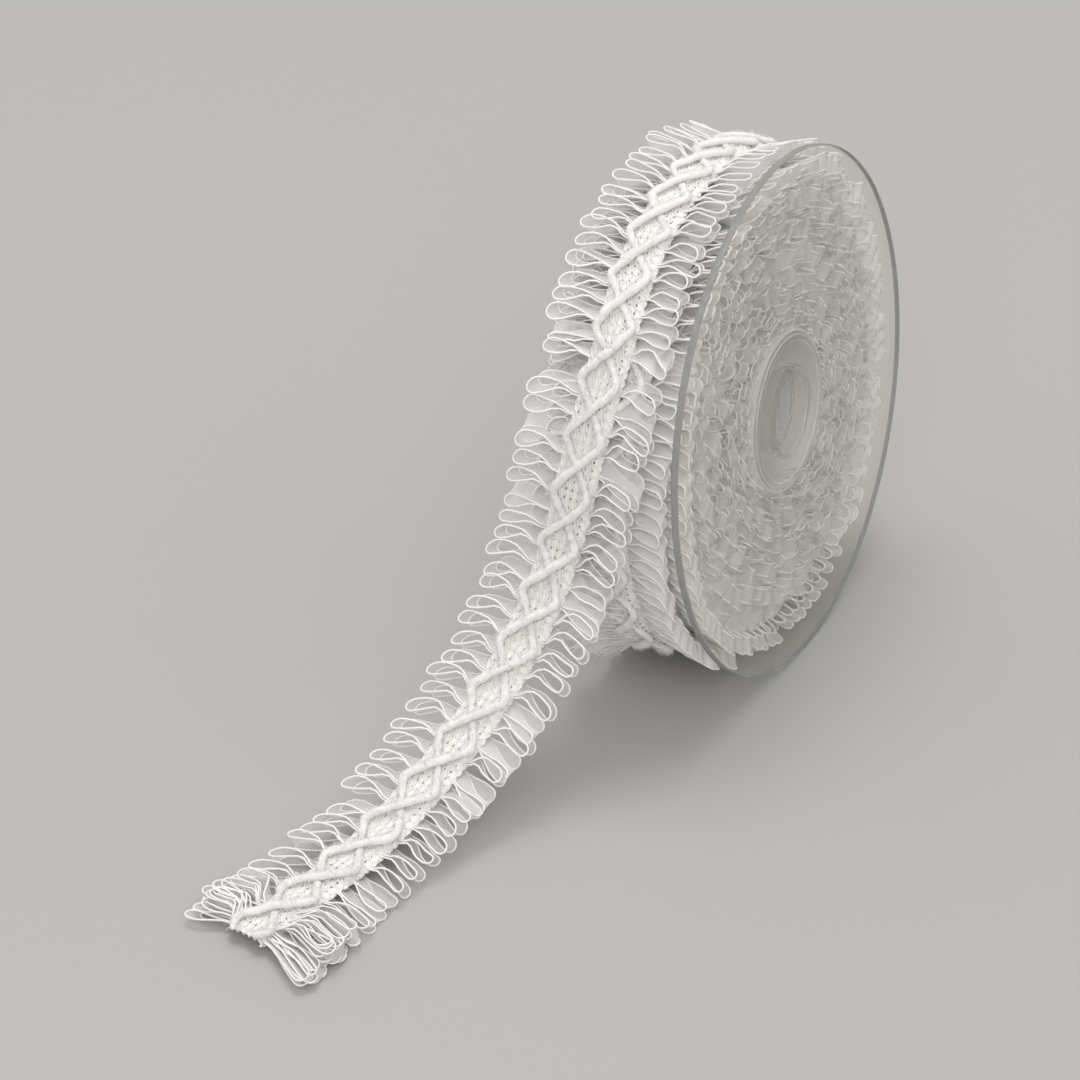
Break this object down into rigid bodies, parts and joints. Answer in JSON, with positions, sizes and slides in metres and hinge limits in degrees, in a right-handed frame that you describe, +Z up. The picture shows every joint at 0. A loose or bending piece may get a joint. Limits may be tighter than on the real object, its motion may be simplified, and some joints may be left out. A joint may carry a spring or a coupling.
{
  "type": "loop fringe trim on a spool",
  "caption": "White loop fringe trim wound on a clear flanged spool, its loose end coming off the front of the roll and lying on the surface.",
  "frame": {"origin": "middle of the roll's small flat spot, on the surface that the roll stands on", "axes": "+X along the spool's axis out of its flange, +Y away from the loose end, +Z up; the axis leans a little, flange end up"},
  "size_m": [0.0477, 0.1435, 0.0798],
  "materials": {
    "clear_plastic": "clear moulded polystyrene, glossy",
    "white_trim": "white polyester cord and sheer woven ribbon"
  },
  "bodies": {
    "root": {"spool": "clear_plastic", "wound_trim": "white_trim", "outer_turn": "white_trim", "loose_end": "white_trim"}
  },
  "joints": []
}
